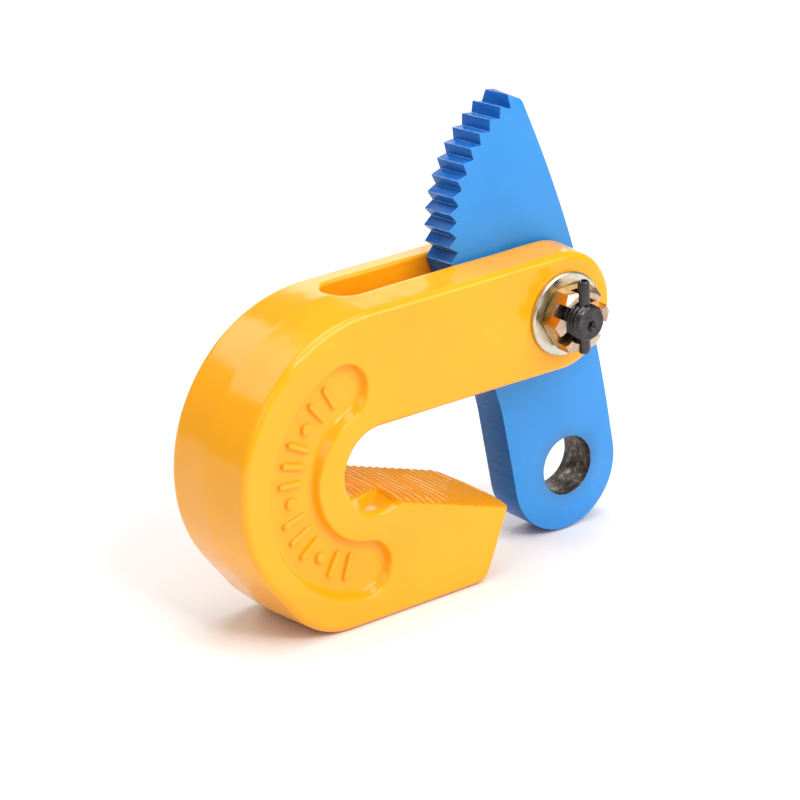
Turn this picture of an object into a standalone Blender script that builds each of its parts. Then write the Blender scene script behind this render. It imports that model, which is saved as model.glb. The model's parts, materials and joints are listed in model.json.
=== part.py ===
"""Plate lifting clamp: a drafted C-shaped body, and a toothed cam arm that swings in its slot on a bolt.

X runs from the closed back of the C to its mouth, Y runs through the thickness with the nut at -Y,
and Z is up. The origin is the middle of the flat foot. Outlines are given in the X-Z plane in
millimetres from the pivot axis, and become metres when their objects are made.
"""

import math

import bmesh
import bpy

MM = 0.001
WELD = 1e-6  # points closer than this, in metres, become one
OVERCUT = 5.0  # how far a cutter runs past the faces that it cuts

# Where the pivot axis lies, from the middle of the foot.
PIVOT_X = 76.0
PIVOT_Z = 102.6

# Body: circles of the front face's outline, counter-clockwise as seen from the front. Each holds
# x, z, radius (negative for a hollow arc), steps along its arc, and its share of the draft.
BODY_OUTLINE = (
    (0.0, 0.0, 24.0, 26, 1.0),  # round end of the ears
    (-96.0, -37.0, 62.4, 26, 1.0),  # back of the C
    (-106.8, -67.6, 35.0, 8, 1.0),  # heel
    (-45.5, -95.6, 7.0, 5, 1.0),  # toe
    (-33.2, -74.6, 4.0, 5, 1.0),  # jaw tip
    (-81.0, -58.4, 4.0, 5, 1.0),  # end of the jaw's grip
    (-91.7, -39.7, -17.2, 22, 4.6),  # throat, which closes in towards the middle
)
BODY_THICKNESS = 46.0
BODY_FILLET = 3.0
FILLET_STEPS = 3
DRAFT = math.tan(math.radians(3.0))

# Slot for the cam arm, from its round end to past the ears.
SLOT_WIDTH = 18.0
SLOT_Y = 3.5  # the ear under the nut is the thicker one
SLOT_END_X = -98.0
SLOT_TOP_Z = 60.0
SLOT_FLOOR_Z = -40.0  # it breaks out under the ears, and stops here behind the throat

# Grip of the lower jaw: a serrated plane that falls towards the tip.
JAW_TIP = (-28.6, -72.9)
JAW_FALL = math.radians(18.7)
JAW_LENGTH = 82.0
SERRATION_PITCH = 4.0
SERRATION_DEPTH = 1.0
JAW_CUT_HEIGHT = 9.0

# Block that takes the foot flat, along X.
FOOT_CUT = (-200.0, 50.0)

# Sunk panel on the front face, a band about the middle of the C.
PANEL_CENTRE = (-95.0, -39.5)
PANEL_INNER = 27.7
PANEL_OUTER = 50.5
PANEL_FROM = math.radians(111.5)
PANEL_TO = math.radians(262.0)
PANEL_DEPTH = 3.8

# Cam arm: one plate, with teeth on an arc at its top and the lifting eye at its foot.
ARM_THICKNESS = 16.0
ARM_Y = 4.0
ARM_EYE = (16.6, -75.2)
ARM_EYE_WALL = 25.4
ARM_EYE_RADIUS = 12.25
ARM_BACK = (-512.4, -146.0, 558.0)  # long arc of the edge away from the teeth
ARM_CROWN = (-5.7, 82.0, 2.5)
ARM_HOLLOW = (-94.4, -62.2, -80.0)  # shallow bend of the edge under the teeth
TOOTH_CENTRE = (13.5, 35.8)
TOOTH_RADIUS = 54.9
TOOTH_DEPTH = 4.0
TOOTH_PITCH = math.radians(7.07)
TOOTH_COUNT = 10
FIRST_TOOTH = math.radians(120.4)
TOOTH_SKEW = math.radians(2.5)  # how far the teeth run down the arc from the front to the back
ARM_HORN = (math.radians(114.5), 55.9)  # top corner, as an angle and a radius about TOOTH_CENTRE
ARM_SHARP = 0.2  # radius of the two corners where the teeth start and end
ARM_STEPS = (24, 8, 3, 1, 1, 4)

# Pivot: shoulder bolt, washers, slotted nut and spring pin. Lengths run from the middle of the body.
BORE_RADIUS = 8.4
SHANK_RADIUS = 8.0
THREAD_RADIUS = 7.3
GAP = 0.3
WASHER_THICKNESS = 2.0
WASHER_RADIUS = 17.0
HEX_ACROSS_FLATS = 24.0
HEAD_HEIGHT = 9.0
NUT_HEIGHT = 10.0
NUT_BORE_RADIUS = 7.6
NUT_CHAMFER = math.radians(30.0)
NUT_SLOTS = 6
NUT_SLOT_FLOOR = 30.5
BOLT_END = 39.0
BOLT_END_CHAMFER = 1.0
CENTRE_DRILL = (2.2, 1.5, 1.2, 4.0)  # mouth radius, bore radius, cone depth, full depth
PIN_RADIUS = 2.4
PIN_WALL = 0.8
PIN_SLIT = 1.0
PIN_LENGTH = 30.0
PIN_Y = 35.0
PIN_LIFT = 1.8
PIN_HOLE_RADIUS = PIN_RADIUS + GAP
ROUND_STEPS = 32
SMALL_STEPS = 16
SMOOTH_BELOW = math.radians(35.0)

BODY_FACE = BODY_THICKNESS / 2
WASHER_FROM = BODY_FACE + GAP
WASHER_TO = WASHER_FROM + WASHER_THICKNESS
HEX_FROM = WASHER_TO + GAP
NUT_TO = HEX_FROM + NUT_HEIGHT
HEX_CORNER = HEX_ACROSS_FLATS / math.sqrt(3)


def clear_scene():
    """Removes every object of the scene."""
    for obj in list(bpy.data.objects):
        bpy.data.objects.remove(obj, do_unlink=True)


def new_collection(name):
    """A collection of this name in the scene."""
    collection = bpy.data.collections.new(name)
    bpy.context.scene.collection.children.link(collection)
    return collection


def principled(name, colour, roughness, metallic):
    """A Principled material of one colour."""
    material = bpy.data.materials.new(name)
    material.use_nodes = True
    shader = material.node_tree.nodes["Principled BSDF"]
    shader.inputs["Base Color"].default_value = (*colour, 1.0)
    shader.inputs["Roughness"].default_value = roughness
    shader.inputs["Metallic"].default_value = metallic
    return material


def polar(centre, radius, angle):
    """The point at this radius and angle about a centre."""
    return (centre[0] + radius * math.cos(angle), centre[1] + radius * math.sin(angle))


def tangent_angle(first, second):
    """Direction of the outward normal of the straight stretch from one outline circle to the next."""
    run_x = second[0] - first[0]
    run_z = second[1] - first[1]
    lean = math.acos((first[2] - second[2]) / math.hypot(run_x, run_z))
    return math.atan2(run_z, run_x) - lean


def belt(circles, steps):
    """Points of the outline that runs round a list of (x, z, signed radius) circles, counter-clockwise."""
    points = []
    for index, (x, z, radius) in enumerate(circles):
        start = tangent_angle(circles[index - 1], circles[index])
        stop = tangent_angle(circles[index], circles[(index + 1) % len(circles)])
        if radius > 0:
            turn = (stop - start) % math.tau
        else:
            turn = -((start - stop) % math.tau)
        for step in range(steps[index] + 1):
            points.append(polar((x, z), radius, start + turn * step / steps[index]))
    return points


def arc(centre, radius, start, stop, steps):
    """Points along an arc, both ends included."""
    return [polar(centre, radius, start + (stop - start) * step / steps) for step in range(steps + 1)]


def finish_mesh(name, mesh, collection, material):
    """An object for a finished mesh, in its collection and with its material."""
    obj = bpy.data.objects.new(name, mesh)
    collection.objects.link(obj)
    if material:
        mesh.materials.append(material)
    return obj


def hide_cutter(obj):
    """Marks an object as a cutter."""
    obj.hide_render = True
    obj.display_type = "WIRE"
    return obj


def loft(name, rings, collection, material, close_back):
    """A skin over rings of (x, y, z) points in millimetres, from the front to the back."""
    shape = bmesh.new()
    skins = [[shape.verts.new([value * MM for value in point]) for point in ring] for ring in rings]
    count = len(skins[0])
    shape.faces.new(skins[0])
    for front, back in zip(skins, skins[1:]):
        for index in range(count):
            after = (index + 1) % count
            shape.faces.new((front[after], front[index], back[index], back[after]))
    if close_back:
        shape.faces.new(list(reversed(skins[-1])))
    mesh = bpy.data.meshes.new(name)
    shape.to_mesh(mesh)
    shape.free()
    return finish_mesh(name, mesh, collection, material)


def plate(name, outline, thickness, collection, material=None, lying=False):
    """A flat piece of this outline, made as a filled 2D curve and turned into a welded mesh.

    It stands in the X-Z plane, or lies in the X-Y plane, with its middle at the origin.
    """
    curve = bpy.data.curves.new(name, "CURVE")
    curve.dimensions = "2D"
    curve.fill_mode = "BOTH"
    curve.extrude = thickness * MM / 2
    spline = curve.splines.new("POLY")
    spline.points.add(len(outline) - 1)
    for point, (along, across) in zip(spline.points, outline):
        point.co = (along * MM, across * MM, 0.0, 1.0)
    spline.use_cyclic_u = True
    drawn = bpy.data.objects.new(name + "_outline", curve)
    collection.objects.link(drawn)
    if not lying:
        drawn.rotation_euler = (math.radians(90.0), 0.0, 0.0)
    bpy.context.view_layer.update()
    graph = bpy.context.evaluated_depsgraph_get()
    mesh = bpy.data.meshes.new_from_object(drawn.evaluated_get(graph))
    weld = bmesh.new()
    weld.from_mesh(mesh)
    bmesh.ops.remove_doubles(weld, verts=weld.verts, dist=WELD)
    bmesh.ops.recalc_face_normals(weld, faces=weld.faces)
    weld.to_mesh(mesh)
    weld.free()
    obj = finish_mesh(name, mesh, collection, material)
    obj.matrix_world = drawn.matrix_world
    bpy.data.objects.remove(drawn, do_unlink=True)
    return obj


def rod(name, radius, low, high, collection, steps=ROUND_STEPS):
    """A cylinder or a prism along the pivot axis, from one distance in front of the middle to another."""
    shape = bmesh.new()
    bmesh.ops.create_cone(
        shape,
        cap_ends=True,
        segments=steps,
        radius1=radius * MM,
        radius2=radius * MM,
        depth=(high - low) * MM,
    )
    bmesh.ops.translate(shape, verts=shape.verts, vec=(0.0, 0.0, (low + high) / 2 * MM))
    mesh = bpy.data.meshes.new(name)
    shape.to_mesh(mesh)
    shape.free()
    obj = finish_mesh(name, mesh, collection, None)
    obj.rotation_euler = (math.radians(90.0), 0.0, 0.0)
    return obj


def turned(name, profile, closed, collection, material):
    """A profile of (radius, distance in front of the middle) turned about the pivot axis."""
    mesh = bpy.data.meshes.new(name)
    edges = [(index, index + 1) for index in range(len(profile) - 1)]
    if closed:
        edges.append((len(profile) - 1, 0))
    mesh.from_pydata([(radius * MM, 0.0, along * MM) for radius, along in profile], edges, [])
    obj = finish_mesh(name, mesh, collection, material)
    obj.rotation_euler = (math.radians(90.0), 0.0, 0.0)
    screw = obj.modifiers.new("turn", "SCREW")
    screw.steps = ROUND_STEPS
    screw.render_steps = ROUND_STEPS
    screw.use_merge_vertices = True
    screw.merge_threshold = WELD
    screw.use_smooth_shade = True
    return obj


def boolean(obj, other, operation="DIFFERENCE"):
    """Cuts the object by another, or joins or intersects them."""
    modifier = obj.modifiers.new(other.name, "BOOLEAN")
    modifier.operation = operation
    modifier.solver = "EXACT"
    modifier.object = other


def box(name, low, high, collection):
    """A box between two corners, in millimetres from the pivot axis."""
    shape = bmesh.new()
    bmesh.ops.create_cube(shape, size=1.0)
    for vertex in shape.verts:
        for axis in range(3):
            span = high[axis] - low[axis]
            vertex.co[axis] = (low[axis] + (vertex.co[axis] + 0.5) * span) * MM
    mesh = bpy.data.meshes.new(name)
    shape.to_mesh(mesh)
    shape.free()
    return finish_mesh(name, mesh, collection, None)


def body_ring(depth, inset):
    """The body's outline this far behind its front face, drawn in by the inset and let out by the draft."""
    circles = []
    for x, z, radius, _, share in BODY_OUTLINE:
        circles.append((x, z, radius - inset + share * DRAFT * depth))
    outline = belt(circles, [entry[3] for entry in BODY_OUTLINE])
    return [(x, depth - BODY_FACE, z) for x, z in outline]


def jaw_point(along, above):
    """A point on the grip plane: millimetres back from the jaw tip, and above the plane."""
    x = JAW_TIP[0] - along * math.cos(JAW_FALL) + above * math.sin(JAW_FALL)
    z = JAW_TIP[1] + along * math.sin(JAW_FALL) + above * math.cos(JAW_FALL)
    return (x, z)


def serrated_outline():
    """The cutter's outline: V grooves along the grip plane, closed above it."""
    ahead = -2 * SERRATION_PITCH
    count = int((JAW_LENGTH - ahead) / SERRATION_PITCH)
    outline = []
    for index in range(count):
        along = ahead + index * SERRATION_PITCH
        outline.append(jaw_point(along, 0.0))
        outline.append(jaw_point(along + SERRATION_PITCH / 2, -SERRATION_DEPTH))
    last = ahead + count * SERRATION_PITCH
    outline.append(jaw_point(last, 0.0))
    outline.append(jaw_point(last, JAW_CUT_HEIGHT))
    outline.append(jaw_point(ahead, JAW_CUT_HEIGHT))
    return outline


def panel_outline():
    """A band with round ends, about the middle of the C."""
    middle = (PANEL_INNER + PANEL_OUTER) / 2
    end_radius = (PANEL_OUTER - PANEL_INNER) / 2
    top = polar(PANEL_CENTRE, middle, PANEL_FROM)
    low = polar(PANEL_CENTRE, middle, PANEL_TO)
    outline = arc(PANEL_CENTRE, PANEL_OUTER, PANEL_FROM, PANEL_TO, 24)
    outline += arc(low, end_radius, PANEL_TO, PANEL_TO + math.pi, 8)[1:-1]
    outline += arc(PANEL_CENTRE, PANEL_INNER, PANEL_TO, PANEL_FROM, 18)
    outline += arc(top, end_radius, PANEL_FROM + math.pi, PANEL_FROM + math.tau, 8)[1:-1]
    return outline


def slot_outline():
    """The cam arm's slot as seen from above: round at its closed end, open past the ears."""
    half = SLOT_WIDTH / 2
    outline = arc((SLOT_END_X + half, 0.0), half, math.pi / 2, 3 * math.pi / 2, 12)
    past_ears = BODY_OUTLINE[0][2] * 2
    outline += [(past_ears, -half), (past_ears, half)]
    return outline


def make_body(parts, cutters, paint):
    """The cast C: a drafted half, mirrored, with its slot, bore, grip, foot and sunk panel cut."""
    rings = []
    for step in range(FILLET_STEPS + 1):
        angle = math.pi / 2 * step / FILLET_STEPS
        depth = BODY_FILLET * (1 - math.cos(angle))
        rings.append(body_ring(depth, BODY_FILLET * (1 - math.sin(angle))))
    rings.append(body_ring(BODY_FACE, 0.0))
    body = loft("clamp_body", rings, parts, paint, close_back=False)
    mirror = body.modifiers.new("far_half", "MIRROR")
    mirror.use_axis = (False, True, False)
    mirror.merge_threshold = WELD

    through = BODY_THICKNESS * 2
    slot = plate("slot_cutter", slot_outline(), SLOT_TOP_Z - SLOT_FLOOR_Z, cutters, lying=True)
    slot.location = (0.0, SLOT_Y * MM, (SLOT_TOP_Z + SLOT_FLOOR_Z) / 2 * MM)
    grip = plate("grip_cutter", serrated_outline(), through, cutters)
    panel = plate("panel_cutter", panel_outline(), 2 * PANEL_DEPTH, cutters)
    panel.location = (0.0, -BODY_FACE * MM, 0.0)
    bore = rod("bore_cutter", BORE_RADIUS, -through, through, cutters)
    foot_low = (FOOT_CUT[0], -through, -PIVOT_Z - through)
    foot_high = (FOOT_CUT[1], through, -PIVOT_Z)
    foot = box("foot_cutter", foot_low, foot_high, cutters)
    for cutter in (slot, grip, panel, bore, foot):
        boolean(body, hide_cutter(cutter))
    return body


def arm_outline(skew):
    """The cam arm's outline, with its teeth moved down their arc by the skew."""
    low = FIRST_TOOTH + TOOTH_COUNT * TOOTH_PITCH + skew
    heel = polar(TOOTH_CENTRE, TOOTH_RADIUS, low)
    horn = polar(TOOTH_CENTRE, ARM_HORN[1], ARM_HORN[0])
    circles = [
        (*ARM_EYE, ARM_EYE_WALL),
        ARM_BACK,
        ARM_CROWN,
        (horn[0] + ARM_SHARP, horn[1] - ARM_SHARP, ARM_SHARP),
        (heel[0] + ARM_SHARP, heel[1], ARM_SHARP),
        ARM_HOLLOW,
    ]
    points = belt(circles, ARM_STEPS)
    before_teeth = sum(steps + 1 for steps in ARM_STEPS[:4])
    root_radius = TOOTH_RADIUS - TOOTH_DEPTH
    teeth = []
    for index in range(TOOTH_COUNT):
        tip = FIRST_TOOTH + index * TOOTH_PITCH + skew
        teeth.append(polar(TOOTH_CENTRE, root_radius, tip - TOOTH_PITCH / 2))
        teeth.append(polar(TOOTH_CENTRE, TOOTH_RADIUS, tip))
    teeth.append(polar(TOOTH_CENTRE, root_radius, low - TOOTH_PITCH / 2))
    return points[:before_teeth] + teeth + points[before_teeth:]


def make_arm(parts, cutters, paint):
    """The toothed plate, with its pivot bore and its lifting eye."""
    half = ARM_THICKNESS / 2
    rings = []
    for depth, skew in ((-half, 0.0), (half, TOOTH_SKEW)):
        rings.append([(x, depth, z) for x, z in arm_outline(skew)])
    arm = loft("cam_arm", rings, parts, paint, close_back=True)
    arm.location = (0.0, ARM_Y * MM, 0.0)
    bore = rod("arm_bore_cutter", BORE_RADIUS, -ARM_THICKNESS, ARM_THICKNESS, cutters)
    eye = rod("eye_cutter", ARM_EYE_RADIUS, -ARM_THICKNESS, ARM_THICKNESS, cutters)
    bore.location = (0.0, ARM_Y * MM, 0.0)
    eye.location = (ARM_EYE[0] * MM, ARM_Y * MM, ARM_EYE[1] * MM)
    for cutter in (bore, eye):
        boolean(arm, hide_cutter(cutter))
    return arm


def make_bolt(parts, cutters, metal):
    """The shoulder bolt: hex head at the back, smooth shank, threaded end with a cross hole."""
    head_face = -HEX_FROM
    shoulder = BODY_FACE - GAP
    mouth, bore, cone, deep = CENTRE_DRILL
    profile = [
        (0.0, BOLT_END - deep - bore / 2),
        (bore, BOLT_END - deep),
        (bore, BOLT_END - cone),
        (mouth, BOLT_END),
        (THREAD_RADIUS - BOLT_END_CHAMFER, BOLT_END),
        (THREAD_RADIUS, BOLT_END - BOLT_END_CHAMFER),
        (THREAD_RADIUS, shoulder),
        (SHANK_RADIUS, shoulder),
        (SHANK_RADIUS, head_face - HEAD_HEIGHT / 2),
        (0.0, head_face - HEAD_HEIGHT / 2),
    ]
    bolt = turned("pivot_bolt", profile, False, parts, metal)
    head = rod("bolt_head", HEX_CORNER, head_face - HEAD_HEIGHT, head_face, cutters, steps=6)
    boolean(bolt, hide_cutter(head), "UNION")
    reach = THREAD_RADIUS + OVERCUT
    hole = rod("pin_hole_cutter", PIN_HOLE_RADIUS, -reach, reach, cutters, steps=SMALL_STEPS)
    hole.rotation_euler = (0.0, 0.0, 0.0)
    hole.location = (0.0, -PIN_Y * MM, 0.0)
    boolean(bolt, hide_cutter(hole))
    return bolt


def make_washer(name, side, bore, parts, metal):
    """A plain washer on the front (side 1) or the back (side -1) of the body."""
    ends = sorted((side * WASHER_FROM, side * WASHER_TO))
    profile = [
        (WASHER_RADIUS, ends[1]),
        (WASHER_RADIUS, ends[0]),
        (bore, ends[0]),
        (bore, ends[1]),
    ]
    return turned(name, profile, True, parts, metal)


def make_nut(parts, cutters, metal):
    """The hex nut with six slots for the pin, its corners chamfered by a cone."""
    nut = rod("castle_nut", HEX_CORNER, HEX_FROM, NUT_TO, parts, steps=6)
    nut.data.materials.append(metal)
    reach = HEX_CORNER + OVERCUT
    slope = math.tan(NUT_CHAMFER)
    cone_profile = [
        (0.0, NUT_TO + HEX_ACROSS_FLATS / 2 * slope),
        (reach, NUT_TO - (reach - HEX_ACROSS_FLATS / 2) * slope),
        (reach, HEX_FROM - OVERCUT),
        (0.0, HEX_FROM - OVERCUT),
    ]
    cone = turned("nut_chamfer", cone_profile, False, cutters, None)
    boolean(nut, hide_cutter(cone), "INTERSECT")
    bore = rod("nut_bore_cutter", NUT_BORE_RADIUS, HEX_FROM - OVERCUT, NUT_TO + OVERCUT, cutters)
    boolean(nut, hide_cutter(bore))
    for index in range(NUT_SLOTS // 2):
        low = (-reach, -NUT_TO - OVERCUT, -PIN_HOLE_RADIUS)
        high = (reach, -NUT_SLOT_FLOOR, PIN_HOLE_RADIUS)
        cutter = box(f"nut_slot_cutter_{index}", low, high, cutters)
        cutter.rotation_euler = (0.0, math.tau * (index + 0.5) / NUT_SLOTS, 0.0)
        boolean(nut, hide_cutter(cutter))
    return nut


def make_pin(parts, metal):
    """The slotted spring pin, a split tube that stands through the bolt and the nut."""
    half_slit = math.asin(PIN_SLIT / 2 / PIN_RADIUS)
    start = math.pi / 2 + half_slit
    stop = math.pi / 2 + math.tau - half_slit
    outline = arc((0.0, 0.0), PIN_RADIUS, start, stop, 24)
    outline += arc((0.0, 0.0), PIN_RADIUS - PIN_WALL, stop, start, 24)
    pin = plate("spring_pin", outline, PIN_LENGTH, parts, metal, lying=True)
    pin.location = (0.0, -PIN_Y * MM, PIN_LIFT * MM)
    return pin


def smooth(obj):
    """Shades an object smooth, with its sharp edges kept."""
    obj.data.shade_smooth()
    obj.data.set_sharp_from_angle(angle=SMOOTH_BELOW)


def build():
    """Makes every piece, and hangs them all on an empty on the pivot axis."""
    clear_scene()
    parts = new_collection("plate_lifting_clamp")
    cutters = new_collection("cutters")
    body_paint = principled("body_paint", (1.0, 0.42, 0.02), 0.25, 0.0)
    arm_paint = principled("arm_paint", (0.06, 0.32, 0.85), 0.35, 0.0)
    black_steel = principled("black_steel", (0.03, 0.03, 0.03), 0.4, 0.8)
    pale_zinc = principled("pale_zinc", (0.55, 0.52, 0.42), 0.3, 1.0)
    gold_zinc = principled("gold_zinc", (0.75, 0.48, 0.2), 0.3, 1.0)

    pieces = [
        make_body(parts, cutters, body_paint),
        make_arm(parts, cutters, arm_paint),
        make_bolt(parts, cutters, black_steel),
        make_washer("nut_washer", 1, THREAD_RADIUS + GAP, parts, pale_zinc),
        make_washer("head_washer", -1, BORE_RADIUS, parts, pale_zinc),
        make_nut(parts, cutters, gold_zinc),
        make_pin(parts, black_steel),
    ]
    pivot = bpy.data.objects.new("pivot_axis", None)
    parts.objects.link(pivot)
    pivot.location = (PIVOT_X * MM, 0.0, PIVOT_Z * MM)
    for obj in pieces:
        smooth(obj)
    for obj in list(parts.objects) + list(cutters.objects):
        if obj is not pivot:
            obj.parent = pivot


build()
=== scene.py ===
import json
import math
from itertools import product

import bmesh
import bpy
import numpy as np
from mathutils import Matrix, Vector


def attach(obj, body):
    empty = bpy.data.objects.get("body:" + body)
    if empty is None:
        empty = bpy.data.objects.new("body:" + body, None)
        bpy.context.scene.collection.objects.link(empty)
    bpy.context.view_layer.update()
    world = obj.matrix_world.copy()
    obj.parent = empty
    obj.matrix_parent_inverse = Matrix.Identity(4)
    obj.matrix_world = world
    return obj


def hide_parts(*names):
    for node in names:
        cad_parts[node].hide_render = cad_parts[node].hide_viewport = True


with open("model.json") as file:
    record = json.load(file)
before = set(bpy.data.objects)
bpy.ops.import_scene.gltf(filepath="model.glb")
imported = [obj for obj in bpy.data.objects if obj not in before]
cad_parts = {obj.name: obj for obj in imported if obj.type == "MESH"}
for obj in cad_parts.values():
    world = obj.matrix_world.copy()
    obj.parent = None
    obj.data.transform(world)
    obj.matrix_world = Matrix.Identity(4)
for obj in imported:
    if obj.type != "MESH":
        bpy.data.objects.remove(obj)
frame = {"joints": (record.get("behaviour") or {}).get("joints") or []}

# Looks of the plate lifting clamp. Shapes are worked out in millimetres from the pivot axis, with X
# towards the mouth, Y through the thickness (the nut at -Y) and Z up, and become metres in the
# frame when their meshes are made.

MM = 0.001
PIVOT = Vector(frame["joints"][0]["pos_m"])
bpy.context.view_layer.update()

# Body outline: circles (x, z, signed radius), counter-clockwise. A hollow arc has a negative radius.
BODY_CIRCLES = (
    (0.0, 0.0, 24.0),  # round end of the ears
    (-96.0, -37.0, 62.4),  # back of the C
    (-106.8, -67.6, 35.0),  # heel
    (-45.5, -95.6, 7.0),  # toe
    (-33.2, -74.2, 4.0),  # jaw tip
    (-81.0, -58.4, 4.0),  # end of the jaw's grip
)
THROAT = (-91.7, -39.7)
THROAT_RADIUS = 17.2
HALF_THICKNESS = 23.0
FACE_FILLET = 3.0
DRAFT = math.tan(math.radians(3.0))
FOOT_Z = -PIVOT.z / MM
FOOT_FILLET = 1.5
BODY_ENDS = (-158.4, 24.0)  # how far the outline reaches in X
BODY_TOP = 24.0
SWELLS = ((0.10, 34.0, 3), (0.03, 11.0, 5))  # (height, length, seed) of the casting's unevenness

SLOT_HALF = 9.0
SLOT_Y = 3.5
SLOT_END_X = -96.6
SLOT_FLOOR_Z = -40.0
SLOT_RIM = 1.2
SLOT_FLOOR_FILLET = 3.0
SLOT_WAVE = 0.45

JAW_TIP = (-28.6, -72.5)
JAW_FALL = math.radians(18.7)
JAW_LENGTH = 82.0
SERRATION_PITCH = 4.0
SERRATION_DEPTH = 0.9
JAW_CUT_HEIGHT = 9.0
JAW_SHOULDER = (11.0, 1.5)  # how far in from the front face the grip rounds off, and by how much
POCKET_FROM = 58.0  # distance along the grip at which the throat's foot is hollowed out
POCKET_DEPTH = 15.0
POCKET_TAPER = 0.62
PAD_PAST_THROAT = 3.0  # how far past the throat's arc the metal beside the pocket goes
PAD_FILLET = 1.6

PANEL_CENTRE = (-95.0, -39.5)
PANEL_MIDDLE = 39.1
PANEL_HALF = 10.3
PANEL_FROM = math.radians(111.5)
PANEL_TO = math.radians(262.0)
PANEL_DEPTH = 4.0
PANEL_WALL = 1.6
MARK_HEIGHT = 1.7
MARK_COUNT = 13
MARKS_FROM = math.radians(119.0)
MARKS_OVER = math.radians(132.0)
DOT_RADIUS = 2.3
BAR_HALF_LENGTH = 4.4
BAR_RADIUS = 1.2

BORE_RADIUS = 8.4

GRID = 0.6
MOST_TRIANGLES = 190_000

# Cam arm.
ARM_THICKNESS = 16.0
ARM_Y = 4.0
ARM_EYE = (16.6, -75.2)
ARM_END = (15.5, -76.2, 25.7)  # round end of the arm, a little off the eye's middle
ARM_EYE_RADIUS = 12.25
ARM_BACK = (-512.4, -146.0, 558.0)
ARM_CROWN = (-5.7, 82.0, 2.5)
ARM_HOLLOW = (-94.4, -62.2, -80.0)
TOOTH_CENTRE = (13.5, 35.8)
TOOTH_RADIUS = 54.9
TOOTH_DEPTH = 4.0
TOOTH_PITCH = math.radians(7.07)
TOOTH_COUNT = 10
FIRST_TOOTH = math.radians(120.4)
TOOTH_SKEW = math.radians(1.4)
ARM_HORN = (math.radians(114.5), 55.9)
HORN_WEAR = 1.9
TOOTH_WEAR = 0.5
ARM_SHARP = 0.2
ARM_STEPS = (72, 40, 8, 8, 1, 24)
ARM_BEVEL = 0.5
CROWN_CHAMFER = ((-4.0, 82.4), (-2.4, 87.0))  # (y, z) points on it

# Pivot set, as lengths in front of the middle of the body.
SHANK_RADIUS = 8.0
THREAD_RADIUS = 7.3
THREAD_PITCH = 2.0
THREAD_DEPTH = 1.1
THREAD_FROM = 22.7
BOLT_END = 39.0
END_CHAMFER = 1.1
HEX_ACROSS_FLATS = 24.0
HEX_FROM = 25.3
NUT_TO = 35.1
HEAD_HEIGHT = 9.0
NUT_BORE_RADIUS = 7.6
NUT_MOUTH_RADIUS = 9.3
DRILL = (0.3, -1.1)  # where the centre drilling sits on the bolt's end
DRILLING = ((2.2, 0.0), (2.0, 0.25), (1.15, 1.3), (1.15, 4.0), (0.1, 4.6))  # (radius, depth)
NUT_SLOTS = 6
SLOT_FLOOR = 30.0
PIN_HOLE_RADIUS = 2.7
PIN_RADIUS = 2.4
PIN_WALL = 0.8
PIN_SLIT = 1.0
PIN_CHAMFER = ((0.0, 0.78), (0.25, 0.86), (1.3, 1.0))  # (depth from the end, share of the radius)
PIN_LENGTH = 29.8
PIN_Y = 34.8
PIN_LIFT = 1.7
WASHER_FROM = 23.1
WASHER_TO = 25.0
WASHER_RADIUS = 17.0
HEX_CORNER = HEX_ACROSS_FLATS / math.sqrt(3)

# Camera, in degrees, and in metres from the pivot.
CAMERA_AZIMUTH = -38.34
CAMERA_ELEVATION = 22.30
CAMERA_ROLL = -1.60
CAMERA_LENS = 225.0
CAMERA_DISTANCE = 1.961
CAMERA_RIGHT = -0.0494
CAMERA_UP = -0.0404

# Lights: name, place from the point they aim at in metres, size and power.
LIGHTS_AIM = (0.0, 0.0, 0.08)
WORLD_STRENGTH = 0.28
LIGHTS = (
    ("key", (0.7, -1.75, 1.35), (1.8, 1.8), 41.0),
    ("overhead", (0.1, 0.1, 2.0), (1.6, 1.6), 28.0),
    ("window", (-0.42, 1.0, 0.9), (1.1, 0.5), 4.0),
    ("wall", (1.5, 1.95, 0.7), (2.6, 0.9), 12.0),
    ("spark", (-0.35, -1.25, 1.45), (0.22, 0.22), 6.0),
    ("left_fill", (-1.7, -0.7, 1.2), (0.9, 0.9), 4.5),
)


# ---------------------------------------------------------------- fields


def tangent_angle(first, second):
    """Direction of the outward normal of the straight stretch from one outline circle to the next."""
    run_x = second[0] - first[0]
    run_z = second[1] - first[1]
    lean = math.acos((first[2] - second[2]) / math.hypot(run_x, run_z))
    return math.atan2(run_z, run_x) - lean


def outline_field(circles, x, z):
    """Signed distance to the outline that runs round the circles, negative inside it."""
    best = np.full(np.broadcast(x, z).shape, 1e3)

    def take(where, signed):
        nearer = where & (np.abs(signed) < np.abs(best))
        best[nearer] = signed[nearer]

    for index, (cx, cz, radius) in enumerate(circles):
        after = circles[(index + 1) % len(circles)]
        start = tangent_angle(circles[index - 1], circles[index])
        stop = tangent_angle(circles[index], after)
        away = np.hypot(x - cx, z - cz)
        angle = np.arctan2(z - cz, x - cx)
        if radius > 0:
            take((angle - start) % math.tau <= (stop - start) % math.tau, away - radius)
        else:
            turned = (start + math.pi - angle) % math.tau
            take(turned <= (start - stop) % math.tau, -radius - away)
        normal = (math.cos(stop), math.sin(stop))
        low = (cx + radius * normal[0], cz + radius * normal[1])
        high = (after[0] + after[2] * normal[0], after[1] + after[2] * normal[1])
        length = math.hypot(high[0] - low[0], high[1] - low[1])
        along = ((x - low[0]) * (high[0] - low[0]) + (z - low[1]) * (high[1] - low[1])) / length
        beside = (x - low[0]) * normal[0] + (z - low[1]) * normal[1]
        take((along >= 0) & (along <= length), beside)
    return best


def both(first, second, radius):
    """What two fields share, with its outer edge rounded."""
    over = np.maximum(first + radius, 0)
    beyond = np.maximum(second + radius, 0)
    return np.minimum(np.maximum(first, second), -radius) + np.hypot(over, beyond)


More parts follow.
